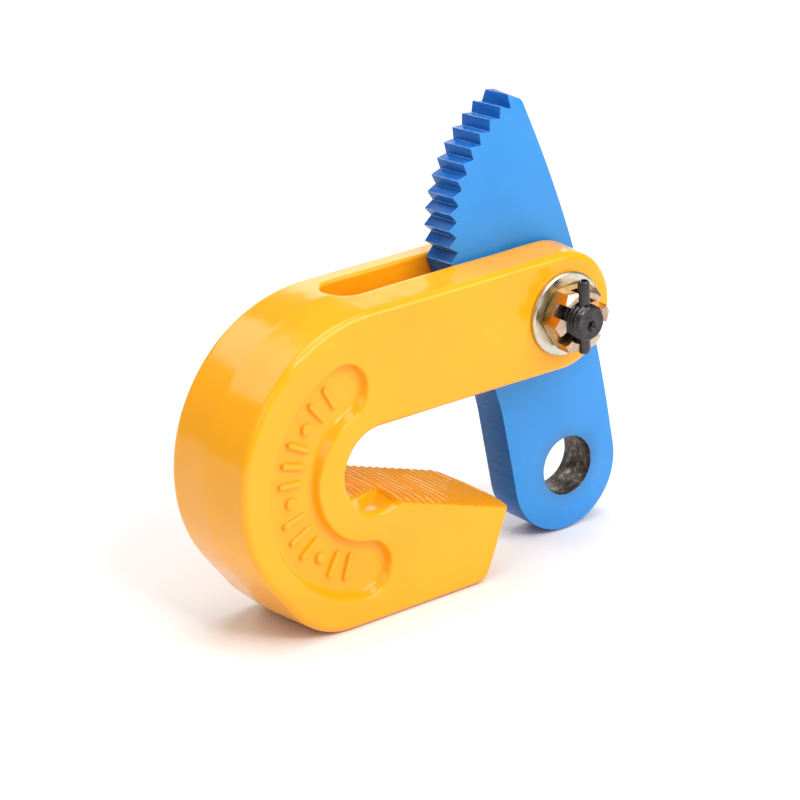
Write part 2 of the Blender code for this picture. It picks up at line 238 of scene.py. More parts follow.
def either(first, second, radius):
    """Two fields joined, with a fillet between them."""
    under = np.maximum(radius - first, 0)
    within = np.maximum(radius - second, 0)
    return np.maximum(np.minimum(first, second), radius) - np.hypot(under, within)


def ease(value, low, high):
    """0 below low, 1 above high, and smooth between."""
    share = np.clip((value - low) / (high - low), 0, 1)
    return share * share * (3 - 2 * share)


def swell(x, y, z, length, seed):
    """A gentle unevenness of about this wavelength, between -1 and 1."""
    draws = np.random.default_rng(seed)
    total = 0.0
    for _ in range(5):
        direction = draws.normal(size=3)
        direction *= math.tau / (length * np.linalg.norm(direction))
        total = total + np.sin(direction[0] * x + direction[1] * y + direction[2] * z + draws.uniform(0, 6))
    return total / 5


def band_field(x, z):
    """Signed distance to the sunk panel's floor, a band with round ends, and how far down it points."""
    angle = np.arctan2(z - PANEL_CENTRE[1], x - PANEL_CENTRE[0]) % math.tau
    nearest = np.clip(angle, PANEL_FROM, PANEL_TO)
    end_x = PANEL_CENTRE[0] + PANEL_MIDDLE * np.cos(nearest)
    end_z = PANEL_CENTRE[1] + PANEL_MIDDLE * np.sin(nearest)
    away = np.hypot(x - end_x, z - end_z)
    return away - PANEL_HALF, (end_z - z) / np.maximum(away, 1.0)


def capsule_field(x, z, low, high, radius):
    """Signed distance to a straight bar with round ends."""
    run_x = high[0] - low[0]
    run_z = high[1] - low[1]
    share = ((x - low[0]) * run_x + (z - low[1]) * run_z) / (run_x**2 + run_z**2)
    share = np.clip(share, 0, 1)
    return np.hypot(x - low[0] - share * run_x, z - low[1] - share * run_z) - radius


def polar(centre, radius, angle):
    """The point at this radius and angle about a centre."""
    return (centre[0] + radius * math.cos(angle), centre[1] + radius * math.sin(angle))


def marks_field(x, z):
    """Signed distance to the raised bars round the panel, with a dot in place of every fourth."""
    marks = np.full(np.broadcast(x, z).shape, 1e3)
    for index in range(MARK_COUNT):
        angle = MARKS_FROM + MARKS_OVER * index / (MARK_COUNT - 1)
        if index % 4 == 2:
            dot = polar(PANEL_CENTRE, PANEL_MIDDLE, angle)
            marks = np.minimum(marks, np.hypot(x - dot[0], z - dot[1]) - DOT_RADIUS)
            continue
        low = polar(PANEL_CENTRE, PANEL_MIDDLE - BAR_HALF_LENGTH, angle)
        high = polar(PANEL_CENTRE, PANEL_MIDDLE + BAR_HALF_LENGTH, angle)
        marks = np.minimum(marks, capsule_field(x, z, low, high, BAR_RADIUS))
    return marks


def grip_field(x, y, z):
    """The serrated grip, as three fields.

    The first is the height above its surface, and the second is the distance along it from the jaw's
    tip. The third is how deep in a groove each place is, from 0 on a crest to 1.
    """
    along = (JAW_TIP[0] - x) * math.cos(JAW_FALL) + (z - JAW_TIP[1]) * math.sin(JAW_FALL)
    above = (x - JAW_TIP[0]) * math.sin(JAW_FALL) + (z - JAW_TIP[1]) * math.cos(JAW_FALL)
    uneven = swell(x, 2 * y, z, 31.0, 21)
    phase = (along + 0.35 * swell(x, y, z, 60.0, 22)) / SERRATION_PITCH
    step = phase % 1
    saw = np.minimum(step / 0.72, (1 - step) / 0.28)
    groove = SERRATION_DEPTH * (0.8 + 0.35 * uneven) * saw
    groove = groove * (1 - 0.45 * ease(-y, HALF_THICKNESS - JAW_SHOULDER[0], HALF_THICKNESS))
    from_front = np.clip(y + HALF_THICKNESS, 0, None)
    shoulder = JAW_SHOULDER[1] * np.maximum(1 - from_front / JAW_SHOULDER[0], 0) ** 1.5
    return above + shoulder + groove, along, saw


def body_field(x, y, z):
    """The cast body: negative inside the metal, in millimetres from the surface near it."""
    depth = HALF_THICKNESS - np.abs(y)
    metal = outline_field((*BODY_CIRCLES, (*THROAT, -THROAT_RADIUS)), x, z)
    metal = metal - DRAFT * depth
    for height, length, seed in SWELLS:
        metal = metal + height * swell(x, y, z, length, seed)
    metal = both(metal, -depth, FACE_FILLET)
    metal = both(metal, FOOT_Z - z, FOOT_FILLET)

    grip, along, _ = grip_field(x, y, z)
    over_jaw = np.maximum(np.maximum(-grip, grip - JAW_CUT_HEIGHT), along - JAW_LENGTH)
    metal = both(metal, -over_jaw, 0.3)
    ledge = POCKET_DEPTH - POCKET_TAPER * (along - POCKET_FROM) - depth
    pad = both(grip, 0.85 * ledge + 0.35 * grip, 0.8)
    pad = np.maximum(pad, np.hypot(x - THROAT[0], z - THROAT[1]) - THROAT_RADIUS - PAD_PAST_THROAT)
    pad = both(pad, -depth, FACE_FILLET)
    metal = either(metal, pad, PAD_FILLET)

    slot_y = y - SLOT_Y
    past_end = np.minimum(x - SLOT_END_X - SLOT_HALF, 0)
    slot = np.hypot(slot_y, past_end) - SLOT_HALF + SLOT_WAVE * swell(x, 0 * y, z, 27.0, 8)
    slot = both(slot, SLOT_FLOOR_Z - z, SLOT_FLOOR_FILLET)
    metal = both(metal, -slot, SLOT_RIM)
    metal = both(metal, BORE_RADIUS - np.hypot(x, z), 0.5)

    sunk = y + HALF_THICKNESS
    beside, down = band_field(x, z)
    width = PANEL_WALL * (1 + 0.8 * down)
    wall = (beside - width * (1 - sunk / PANEL_DEPTH)) / np.hypot(1, width / PANEL_DEPTH)
    panel = both(wall, sunk - PANEL_DEPTH, 1.0)
    metal = both(metal, -panel, 0.6)
    marks = both(marks_field(x, z), PANEL_DEPTH - MARK_HEIGHT - sunk, 0.4)
    marks = np.maximum(marks, sunk - 2 * PANEL_DEPTH)
    return either(metal, marks, 0.45)


# ---------------------------------------------------------------- meshes


def surface_net(field, axes):
    """(points, quads) of the zero surface of a sampled field, with one point in each cell it crosses."""
    inside = field < 0
    shape = [count - 1 for count in field.shape]
    corners = list(product((0, 1), repeat=3))
    count = np.zeros(shape, np.int8)
    for corner in corners:
        part = tuple(slice(step, step + size) for step, size in zip(corner, shape))
        count += inside[part]
    cells = np.argwhere((count > 0) & (count < 8))
    index = np.full(shape, -1, np.int64)
    index[tuple(cells.T)] = np.arange(len(cells))

    total = np.zeros((len(cells), 3))
    hits = np.zeros(len(cells))
    for first, second in product(corners, corners):
        if sum(second) - sum(first) != 1 or any(b < a for a, b in zip(first, second)):
            continue
        at_first = cells + first
        at_second = cells + second
        low = field[tuple(at_first.T)]
        high = field[tuple(at_second.T)]
        crossed = (low < 0) != (high < 0)
        share = np.where(crossed, low / np.where(crossed, low - high, 1), 0)
        for axis in range(3):
            start = axes[axis][at_first[:, axis]]
            end = axes[axis][at_second[:, axis]]
            total[:, axis] += np.where(crossed, start + share * (end - start), 0)
        hits += crossed
    points = total / hits[:, None]

    quads = []
    for axis in range(3):
        side, other = [a for a in range(3) if a != axis]
        low = [slice(None)] * 3
        high = [slice(None)] * 3
        low[axis] = slice(0, -1)
        high[axis] = slice(1, None)
        crossed = np.argwhere(inside[tuple(low)] != inside[tuple(high)])
        crossed = crossed[(crossed[:, side] > 0) & (crossed[:, other] > 0)]
        ring = []
        for step_side, step_other in ((1, 1), (0, 1), (0, 0), (1, 0)):
            cell = crossed.copy()
            cell[:, side] -= step_side
            cell[:, other] -= step_other
            ring.append(index[tuple(cell.T)])
        quad = np.stack(ring, axis=1)
        outward = inside[tuple(crossed.T)]
        if axis == 1:
            outward = ~outward
        quad[~outward] = quad[~outward][:, ::-1]
        quads.append(quad)
    return points, np.concatenate(quads)


def settle(points, field, rounds=2, step=0.02):
    """Moves points along the field's slope onto its zero surface."""
    for _ in range(rounds):
        value = field(*points.T)
        slope = np.empty_like(points)
        for axis in range(3):
            shift = np.zeros(3)
            shift[axis] = step
            slope[:, axis] = (field(*(points + shift).T) - field(*(points - shift).T)) / (2 * step)
        steep = np.maximum((slope**2).sum(1), 0.2)
        move = slope * (value / steep)[:, None]
        points = points - np.clip(move, -GRID / 2, GRID / 2)
    return points


def in_frame(points):
    """Points in millimetres from the pivot axis, as metres in the frame."""
    return np.asarray(points, float) * MM + np.array(PIVOT)


def new_object(name, points, faces):
    """An object for these points and faces, which are in millimetres from the pivot axis."""
    mesh = bpy.data.meshes.new(name)
    mesh.from_pydata(in_frame(points).tolist(), [], [list(map(int, face)) for face in faces])
    mesh.update()
    obj = bpy.data.objects.new(name, mesh)
    bpy.context.scene.collection.objects.link(obj)
    return obj


def loft(name, rings):
    """A skin over rings of points from the front to the back, with its two ends filled."""
    count = len(rings[0])
    points = [point for ring in rings for point in ring]
    faces = [list(range(count))]
    for ring in range(len(rings) - 1):
        for step in range(count):
            after = (step + 1) % count
            low = ring * count
            faces.append((low + after, low + step, low + count + step, low + count + after))
    faces.append(list(reversed(range((len(rings) - 1) * count, len(rings) * count))))
    return new_object(name, points, faces)


def turned(name, profile, steps=96, ring=False):
    """A profile of (radius, distance in front of the middle) turned about the pivot axis.

    A ring's profile is closed. Any other starts and ends on the axis.
    """
    points = []
    inner = profile if ring else profile[1:-1]
    for step in range(steps):
        angle = math.tau * step / steps
        points += [(r * math.cos(angle), -along, r * math.sin(angle)) for r, along in inner]
    count = len(inner)
    faces = []
    for step in range(steps):
        here = step * count
        there = (step + 1) % steps * count
        for index in range(count - (0 if ring else 1)):
            after = (index + 1) % count
            faces.append((here + index, here + after, there + after, there + index))
    if not ring:
        for at, end in ((0, profile[0]), (count - 1, profile[-1])):
            points.append((0.0, -end[1], 0.0))
            for step in range(steps):
                here = step * count + at
                there = (step + 1) % steps * count + at
                face = (len(points) - 1, here, there)
                faces.append(face if at == 0 else face[::-1])
    obj = new_object(name, points, faces)
    fix_normals(obj)
    return obj


def fix_normals(obj):
    """Turns every face outwards."""
    shape = bmesh.new()
    shape.from_mesh(obj.data)
    bmesh.ops.recalc_face_normals(shape, faces=shape.faces)
    shape.to_mesh(obj.data)
    shape.free()


def boolean(obj, other, operation="DIFFERENCE"):
    """Cuts the object by another, which is then thrown away, or joins or intersects them."""
    modifier = obj.modifiers.new(operation, "BOOLEAN")
    modifier.operation = operation
    modifier.solver = "EXACT"
    modifier.object = other
    settle_modifiers(obj)
    bpy.data.objects.remove(other, do_unlink=True)


def settle_modifiers(obj):
    """Makes the object's modifiers part of its mesh."""
    bpy.context.view_layer.update()
    graph = bpy.context.evaluated_depsgraph_get()
    mesh = bpy.data.meshes.new_from_object(obj.evaluated_get(graph))
    obj.modifiers.clear()
    obj.data = mesh


def bevel(obj, width, segments=2, degrees=28.0):
    """Rounds the object's sharp edges."""
    modifier = obj.modifiers.new("bevel", "BEVEL")
    modifier.width = width * MM
    modifier.segments = segments
    modifier.limit_method = "ANGLE"
    modifier.angle_limit = math.radians(degrees)
    modifier.use_clamp_overlap = True
    settle_modifiers(obj)


def smooth(obj, degrees=32.0):
    """Shades an object smooth, with its sharp edges kept."""
    obj.data.shade_smooth()
    obj.data.set_sharp_from_angle(angle=math.radians(degrees))


def finish(obj, body, nodes, slot, *materials):
    """Gives a piece its body, the CAD nodes it stands for and its materials. The slot is not used."""
    obj.data.materials.clear()
    for material in materials:
        obj.data.materials.append(material)
    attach(obj, body)
    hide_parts(*nodes)
    return obj


# ---------------------------------------------------------------- pieces


def make_body():
    """The cast C, as the zero surface of its field."""
    margin = 2.0
    xs = np.arange(BODY_ENDS[0] - margin - 2, BODY_ENDS[1] + margin + 2, GRID)
    zs = np.arange(FOOT_Z - margin, BODY_TOP + 2 * margin, GRID)
    fine = np.arange(-HALF_THICKNESS - 1.2, -HALF_THICKNESS + 6.0, GRID * 0.8)
    middle = np.linspace(fine[-1], -fine[-1], int(-2 * fine[-1] / (GRID * 1.5)) + 1)[1:-1]
    ys = np.concatenate([fine, middle, -fine[::-1]])
    field = body_field(xs[:, None, None], ys[None, :, None], zs[None, None, :])
    points, quads = surface_net(field, (xs, ys, zs))
    obj = new_object("cast_body", settle(points, body_field), quads)
    triangles = 2 * len(quads)
    if triangles > MOST_TRIANGLES:
        thin = obj.modifiers.new("thin", "DECIMATE")
        thin.ratio = MOST_TRIANGLES / triangles
        settle_modifiers(obj)
    obj.data.shade_smooth()
    return obj


def belt(circles, steps):
    """Points of the outline that runs round a list of circles, counter-clockwise."""
    points = []
    for index, (x, z, radius) in enumerate(circles):
        start = tangent_angle(circles[index - 1], circles[index])
        stop = tangent_angle(circles[index], circles[(index + 1) % len(circles)])
        if radius > 0:
            turn = (stop - start) % math.tau
        else:
            turn = -((start - stop) % math.tau)
        for step in range(steps[index] + 1):
            points.append(polar((x, z), radius, start + turn * step / steps[index]))
    return points


def arm_outline(skew, wear):
    """The cam arm's outline, with its teeth moved down their arc by the skew, and more or less worn."""
    low = FIRST_TOOTH + TOOTH_COUNT * TOOTH_PITCH + skew
    heel = polar(TOOTH_CENTRE, TOOTH_RADIUS, low)
    horn = polar(TOOTH_CENTRE, ARM_HORN[1] - HORN_WEAR * wear, ARM_HORN[0])
    blunt = ARM_SHARP + 0.5 * wear
    circles = [
        ARM_END,
        ARM_BACK,
        ARM_CROWN,
        (horn[0] + blunt, horn[1] - blunt, blunt),
        (heel[0] + ARM_SHARP, heel[1], ARM_SHARP),
        ARM_HOLLOW,
    ]
    points = belt(circles, ARM_STEPS)
    before_teeth = sum(steps + 1 for steps in ARM_STEPS[:4])
    root_radius = TOOTH_RADIUS - TOOTH_DEPTH
    teeth = []
    for index in range(TOOTH_COUNT):
        tip = FIRST_TOOTH + index * TOOTH_PITCH + skew
        teeth.append(polar(TOOTH_CENTRE, root_radius, tip - TOOTH_PITCH / 2))
        teeth.append(polar(TOOTH_CENTRE, TOOTH_RADIUS - TOOTH_WEAR * wear, tip))
    teeth.append(polar(TOOTH_CENTRE, root_radius, low - TOOTH_PITCH / 2))
    return points[:before_teeth] + teeth + points[before_teeth:]


def hole(name, centre, radius, low, high, steps=96):
    """A cylinder along Y, for cutting."""
    outline = [polar(centre, radius, math.tau * step / steps) for step in range(steps)]
    return loft(name, [[(x, y, z) for x, z in outline] for y in (low, high)])


def make_arm():
    """The toothed plate, its edges broken, with its bore and its lifting eye."""
    half = ARM_THICKNESS / 2
    rings = []
    for side, skew, wear in ((-half, 0.0, 0.0), (half, TOOTH_SKEW, 1.0)):
        rings.append([(x, ARM_Y + side, z) for x, z in arm_outline(skew, wear)])
    obj = loft("toothed_arm", rings)
    boolean(obj, hole("arm_bore", (0.0, 0.0), BORE_RADIUS, ARM_Y - 20, ARM_Y + 20))
    boolean(obj, hole("arm_eye", ARM_EYE, ARM_EYE_RADIUS, ARM_Y - 20, ARM_Y + 20))
    chamfer_crown(obj)
    bevel(obj, ARM_BEVEL, 3)
    smooth(obj, 40.0)
    return obj


def chamfer_crown(obj):
    """Grinds the front edge off the top of the arm."""
    (low_y, low_z), (high_y, high_z) = CROWN_CHAMFER
    shape = bmesh.new()
    shape.from_mesh(obj.data)
    geometry = shape.verts[:] + shape.edges[:] + shape.faces[:]
    place = PIVOT + Vector((0, low_y * MM, low_z * MM))
    normal = Vector((0, low_z - high_z, high_y - low_y))
    cut = bmesh.ops.bisect_plane(
        shape, geom=geometry, plane_co=place, plane_no=normal, clear_outer=True
    )
    edges = [item for item in cut["geom_cut"] if isinstance(item, bmesh.types.BMEdge)]
    bmesh.ops.contextual_create(shape, geom=edges)
    shape.to_mesh(obj.data)
    shape.free()


def thread_radius(angle, along):
    """Radius of the helical thread at an angle and a distance along its axis: flat crests, V grooves."""
    phase = (along / THREAD_PITCH - angle / math.tau) % 1
    rise = abs(2 * phase - 1) * 1.5 - 0.2
    return THREAD_RADIUS - THREAD_DEPTH * (1 - min(max(rise, 0.0), 1.0))


def threaded_end():
    """The bolt's threaded end, closed, with its chamfer and its centre-drilled hole."""
    turns = 120
    rows = int((BOLT_END - THREAD_FROM) / 0.16)
    rings = []
    for row in range(rows + 1):
        along = THREAD_FROM + (BOLT_END - THREAD_FROM) * row / rows
        limit = THREAD_RADIUS - max(END_CHAMFER - (BOLT_END - along), 0)
        ring = []
        for step in range(turns):
            angle = math.tau * step / turns
            radius = min(thread_radius(angle, along), limit)
            ring.append((radius * math.cos(angle), -along, radius * math.sin(angle)))
        rings.append(ring)
    for radius, sunk in DRILLING:
        ring = []
        for step in range(turns):
            x, z = polar(DRILL, radius, math.tau * step / turns)
            ring.append((x, sunk - BOLT_END, z))
        rings.append(ring)
    return loft("threaded_end", rings[::-1])


def hexagon(name, low, high):
    """A hexagonal prism along Y, its corners at 0, 60 and so on degrees."""
    return hole(name, (0.0, 0.0), HEX_CORNER, -high, -low, steps=6)


def corner_cone(name, low, high, chamfer_low, chamfer_high):
    """A turned shape whose cones take the corners off a hexagon's two ends."""
    slope = math.tan(math.radians(30.0))
    flat = HEX_ACROSS_FLATS / 2 - 0.6
    reach = HEX_CORNER + 3.0
    drop = (reach - flat) * slope
    profile = [(0.0, low - (0 if chamfer_low else 2)), (flat, low - (0 if chamfer_low else 2))]
    profile.append((reach, low + drop if chamfer_low else low - 2))
    profile.append((reach, high - drop if chamfer_high else high + 2))
    profile += [(flat, high + (0 if chamfer_high else 2)), (0.0, high + (0 if chamfer_high else 2))]
    return turned(name, profile)


def make_bolt():
    """The shoulder bolt: hex head with its corners turned off, smooth shank and threaded end."""
    head_from = -HEX_FROM - HEAD_HEIGHT
    obj = hexagon("shoulder_bolt", head_from, -HEX_FROM)
    boolean(obj, corner_cone("head_cone", head_from, -HEX_FROM, True, False), "INTERSECT")
    profile = [
        (0.0, -HEX_FROM - 4.0),
        (SHANK_RADIUS, -HEX_FROM - 4.0),
        (SHANK_RADIUS, THREAD_FROM - 0.6),
        (SHANK_RADIUS - 0.6, THREAD_FROM),
        (THREAD_RADIUS - 1.4, THREAD_FROM),
        (THREAD_RADIUS - 1.4, THREAD_FROM + 3.0),
        (0.0, THREAD_FROM + 3.0),
    ]
    boolean(obj, turned("shank", profile), "UNION")
    bevel(obj, 0.35, 2)
    boolean(obj, threaded_end(), "UNION")
    cross = hole("cross_hole", (0.0, 0.0), PIN_HOLE_RADIUS, -12, 12, steps=48)
    turn = Matrix.Rotation(math.radians(90.0), 4, "X")
    move = Matrix.Translation(PIVOT + Vector((0, -PIN_Y * MM, 0)))
    cross.data.transform(move @ turn @ Matrix.Translation(-PIVOT))
    boolean(obj, cross)
    smooth(obj, 35.0)
    return obj


def make_washer(name, side, bore):
    """A plain washer, its outer edges rounded by the press."""
    low, high, outer = WASHER_FROM, WASHER_TO, WASHER_RADIUS
    profile = [(bore, low), (outer - 0.3, low), (outer, low + 0.3)]
    for step in range(5):
        angle = math.pi / 2 * step / 4
        profile.append((outer - 0.9 + 0.9 * math.cos(angle), high - 0.9 + 0.9 * math.sin(angle)))
    profile += [(bore + 0.3, high), (bore, high - 0.3)]
    profile = [(radius, side * along) for radius, along in profile]
    obj = turned(name, profile, steps=128, ring=True)
    smooth(obj, 35.0)
    return obj


def make_nut():
    """The slotted hex nut, chamfered at both ends."""
    obj = hexagon("slotted_nut", HEX_FROM, NUT_TO)
    boolean(obj, corner_cone("nut_cone", HEX_FROM, NUT_TO, True, True), "INTERSECT")
    bore = turned(
        "nut_bore",
        [
            (0.0, HEX_FROM - 2),
            (NUT_BORE_RADIUS + 2.6, HEX_FROM - 2),
            (NUT_BORE_RADIUS, HEX_FROM + 0.6),
            (NUT_BORE_RADIUS, NUT_TO + NUT_BORE_RADIUS - NUT_MOUTH_RADIUS),
            (NUT_MOUTH_RADIUS + 2, NUT_TO + 2),
            (0.0, NUT_TO + 2),
        ],
    )
    boolean(obj, bore)
    for index in range(NUT_SLOTS // 2):
        half = PIN_HOLE_RADIUS
        rings = []
        for along in (NUT_TO + 5, SLOT_FLOOR):
            corners = ((20, half), (-20, half), (-20, -half), (20, -half))
            rings.append([(x, -along, z) for x, z in corners])
        cutter = loft(f"nut_slot_{index}", rings)
        fix_normals(cutter)
        turn = Matrix.Rotation(math.tau * (index + 0.5) / NUT_SLOTS, 4, "Y")
        cutter.data.transform(Matrix.Translation(PIVOT) @ turn @ Matrix.Translation(-PIVOT))
        boolean(obj, cutter)
    bevel(obj, 0.3, 2)
    smooth(obj, 35.0)
    return obj


def pin_ring(outer, z):
    """The split tube's section at a height, as points round its outside and back round its inside."""
    slit = math.asin(PIN_SLIT / 2 / PIN_RADIUS)
    start = math.pi / 2 + slit
    stop = math.pi / 2 + math.tau - slit
    steps = 40
    inner = PIN_RADIUS - PIN_WALL
    points = [polar((0, -PIN_Y), outer, start + (stop - start) * step / steps) for step in range(steps + 1)]
    points += [polar((0, -PIN_Y), inner, stop + (start - stop) * step / steps) for step in range(steps + 1)]
    return [(x, y, z) for x, y in points]


def make_pin():
    """The spring pin, a split tube with chamfered ends."""
    half = PIN_LENGTH / 2
    rings = []
    for inset, share in PIN_CHAMFER:
        rings.append(pin_ring(PIN_RADIUS * share, PIN_LIFT + half - inset))
    for inset, share in reversed(PIN_CHAMFER):
        rings.append(pin_ring(PIN_RADIUS * share, PIN_LIFT - half + inset))
    obj = loft("split_pin", rings)
    fix_normals(obj)
    smooth(obj, 40.0)
    return obj


# ---------------------------------------------------------------- materials


def node(tree, kind, inputs=None, **settings):
    """A shader node. Each input is a value or another node's output."""
    made = tree.nodes.new(kind)
    for key, value in settings.items():
        setattr(made, key, value)
    for key, value in (inputs or {}).items():
        if isinstance(value, bpy.types.NodeSocket):
            tree.links.new(value, made.inputs[key])
        else:
            made.inputs[key].default_value = value
    return made


def new_material(name):
    """A Principled material, as (material, tree, shader, object coordinates)."""
    material = bpy.data.materials.new(name)
    material.use_nodes = True
    tree = material.node_tree
    shader = tree.nodes["Principled BSDF"]
    coords = node(tree, "ShaderNodeTexCoord").outputs["Object"]
    return material, tree, shader, coords


def noise(tree, coords, scale, detail=3.0, roughness=0.5, distortion=0.0):
    """A noise value about 0.5, with features of about 1/scale metres."""
    inputs = {"Vector": coords, "Scale": scale, "Detail": detail, "Roughness": roughness}
    inputs["Distortion"] = distortion
    return node(tree, "ShaderNodeTexNoise", inputs).outputs["Fac"]


def ramp(tree, value, *stops):
    """A colour for each value, from (place, colour) stops."""
    made = node(tree, "ShaderNodeValToRGB", {"Fac": value})
    elements = made.color_ramp.elements
    while len(elements) < len(stops):
        elements.new(0.5)
    for element, (place, colour) in zip(elements, stops):
        element.position = place
        element.color = (*colour, 1.0)
    return made.outputs["Color"]


def spread(tree, value, low, high, source=(0.3, 0.7)):
    """A value moved from the noise's usual range to this one."""
    inputs = {"Value": value, "From Min": source[0], "From Max": source[1]}
    inputs |= {"To Min": low, "To Max": high}
    return node(tree, "ShaderNodeMapRange", inputs).outputs["Result"]


def mix(tree, share, first, second):
    """Two colours mixed by a share."""
    made = node(tree, "ShaderNodeMix", data_type="RGBA")
    for socket, value in ((made.inputs[0], share), (made.inputs[6], first), (made.inputs[7], second)):
        if isinstance(value, bpy.types.NodeSocket):
            tree.links.new(value, socket)
        else:
            socket.default_value = (*value, 1.0) if isinstance(value, tuple) else value
    return made.outputs[2]


def bump(tree, height, strength, distance, normal=None):
    """A bump from a height in 0 to 1, this many metres high."""
    inputs = {"Height": height, "Strength": strength, "Distance": distance}
    if normal:
        inputs["Normal"] = normal
    return node(tree, "ShaderNodeBump", inputs).outputs["Normal"]


def body_paint(name, smoothest, roughest, shine, depth):
    """Orange-yellow enamel, brushed thick over a casting. The depth darkens it, from 1; the grip's copy
    uses it for painted shade.
    """
    material, tree, shader, coords = new_material(name)
    broad = noise(tree, coords, 22.0, 2.0)
    darker = (0.93 * depth, 0.375 * depth, 0.006)
    lighter = (0.97 * depth, 0.41 * depth, 0.008)
    tone = ramp(tree, broad, (0.35, darker), (0.65, lighter))
    specks = noise(tree, coords, 520.0, 2.0)
    dust = ramp(tree, specks, (0.17, (1, 1, 1)), (0.20, (0, 0, 0)))
    tree.links.new(mix(tree, dust, tone, (0.45, 0.15, 0.01)), shader.inputs["Base Color"])
    tree.links.new(spread(tree, noise(tree, coords, 90.0), smoothest, roughest), shader.inputs["Roughness"])
    flow = bump(tree, noise(tree, coords, 60.0, 2.0), 0.25, 0.0004)
    peel = bump(tree, noise(tree, coords, 330.0, 3.0), 0.2, 0.00008, flow)
    tree.links.new(peel, shader.inputs["Normal"])
    shader.inputs["Specular IOR Level"].default_value = shine
    return material


def arm_paint():
    """Blue enamel on plate, faintly mottled, with grime round the eye."""
    material, tree, shader, coords = new_material("blue_enamel")
    broad = noise(tree, coords, 30.0, 4.0, 0.55)
    tone = ramp(tree, broad, (0.3, (0.012, 0.225, 0.62)), (0.7, (0.02, 0.255, 0.68)))
    grey = ramp(tree, noise(tree, coords, 260.0, 5.0, 0.7), (0.45, (0, 0, 0)), (0.75, (1, 1, 1)))
    colour = mix(tree, spread(tree, grey, 0.0, 0.22, (0, 1)), tone, (0.07, 0.22, 0.42))
    eye = PIVOT + Vector((ARM_EYE[0], 0.0, ARM_EYE[1])) * MM
    flat = node(tree, "ShaderNodeVectorMath", {0: coords, 1: (1.0, 0.0, 1.0)}, operation="MULTIPLY")
    inputs = {0: flat.outputs["Vector"], 1: (eye.x, 0.0, eye.z)}
    away = node(tree, "ShaderNodeVectorMath", inputs, operation="DISTANCE").outputs["Value"]
    near = spread(tree, away, 0.6, 0.0, (ARM_EYE_RADIUS * MM, (ARM_EYE_RADIUS + 6.0) * MM))
    inputs = {0: near, 1: noise(tree, coords, 110.0, 5.0, 0.7)}
    grime = node(tree, "ShaderNodeMath", inputs, operation="MULTIPLY")
    colour = mix(tree, grime.outputs["Value"], colour, (0.06, 0.09, 0.12))
    tree.links.new(colour, shader.inputs["Base Color"])
    tree.links.new(spread(tree, noise(tree, coords, 120.0), 0.3, 0.42), shader.inputs["Roughness"])
    flow = bump(tree, noise(tree, coords, 80.0, 3.0), 0.2, 0.0003)
    grain = bump(tree, noise(tree, coords, 700.0, 3.0), 0.3, 0.00008, flow)
    tree.links.new(grain, shader.inputs["Normal"])
    return material


def edge_paint():
    """The same blue on the rough cut edges of the plate, darker and less shiny; the darkness is partly the
    cut edges' thinner paint and partly painted shade, as they face away from the lights or lie under the
    body.
    """
    material, tree, shader, coords = new_material("blue_enamel_edge_and_shade")
    stretched = node(tree, "ShaderNodeMapping", {"Vector": coords, "Scale": (1.0, 0.08, 1.0)})
    lines = noise(tree, stretched.outputs["Vector"], 900.0, 3.0)
    tone = ramp(tree, lines, (0.3, (0.008, 0.115, 0.44)), (0.7, (0.011, 0.14, 0.50)))
    tree.links.new(tone, shader.inputs["Base Color"])
    tree.links.new(spread(tree, lines, 0.2, 0.34), shader.inputs["Roughness"])
    tree.links.new(bump(tree, lines, 0.2, 0.00012), shader.inputs["Normal"])
    shader.inputs["Specular IOR Level"].default_value = 0.14
    return material


def edge_glint():
    """Light, shiny blue on the narrow bevel strips of the teeth's edges, a painted highlight for their
    glints.
    """
    material, tree, shader, coords = new_material("blue_painted_glint")
    breaks = noise(tree, coords, 260.0, 3.0)
    tone = ramp(tree, breaks, (0.35, (0.10, 0.36, 0.74)), (0.6, (0.5, 0.7, 0.92)))
    tree.links.new(tone, shader.inputs["Base Color"])
    tree.links.new(spread(tree, breaks, 0.1, 0.25), shader.inputs["Roughness"])
    return material


def bare_steel():
    """Dark machined steel, in the eye."""
    material, tree, shader, coords = new_material("bare_steel")
    stretched = node(tree, "ShaderNodeMapping", {"Vector": coords, "Scale": (0.1, 1.0, 0.1)})
    lines = noise(tree, stretched.outputs["Vector"], 1500.0, 3.0)
    stain = noise(tree, coords, 420.0, 5.0, 0.65)
    stops = ((0.35, (0.035, 0.03, 0.027)), (0.55, (0.11, 0.09, 0.075)), (0.72, (0.42, 0.36, 0.31)))
    tone = ramp(tree, stain, *stops)
    tree.links.new(tone, shader.inputs["Base Color"])
    tree.links.new(spread(tree, lines, 0.25, 0.5), shader.inputs["Roughness"])
    tree.links.new(bump(tree, lines, 0.4, 0.0001), shader.inputs["Normal"])
    shader.inputs["Metallic"].default_value = 0.8
    return material


def black_oxide(name):
    """Blackened steel with a faint oily sheen."""
    material, tree, shader, coords = new_material(name)
    stain = noise(tree, coords, 260.0, 4.0)
    tone = ramp(tree, stain, (0.3, (0.03, 0.028, 0.03)), (0.7, (0.075, 0.07, 0.075)))
    tree.links.new(tone, shader.inputs["Base Color"])
    tree.links.new(spread(tree, stain, 0.2, 0.34), shader.inputs["Roughness"])
    tree.links.new(bump(tree, noise(tree, coords, 1800.0, 3.0), 0.3, 0.00006), shader.inputs["Normal"])
    shader.inputs["Metallic"].default_value = 0.7
    return material


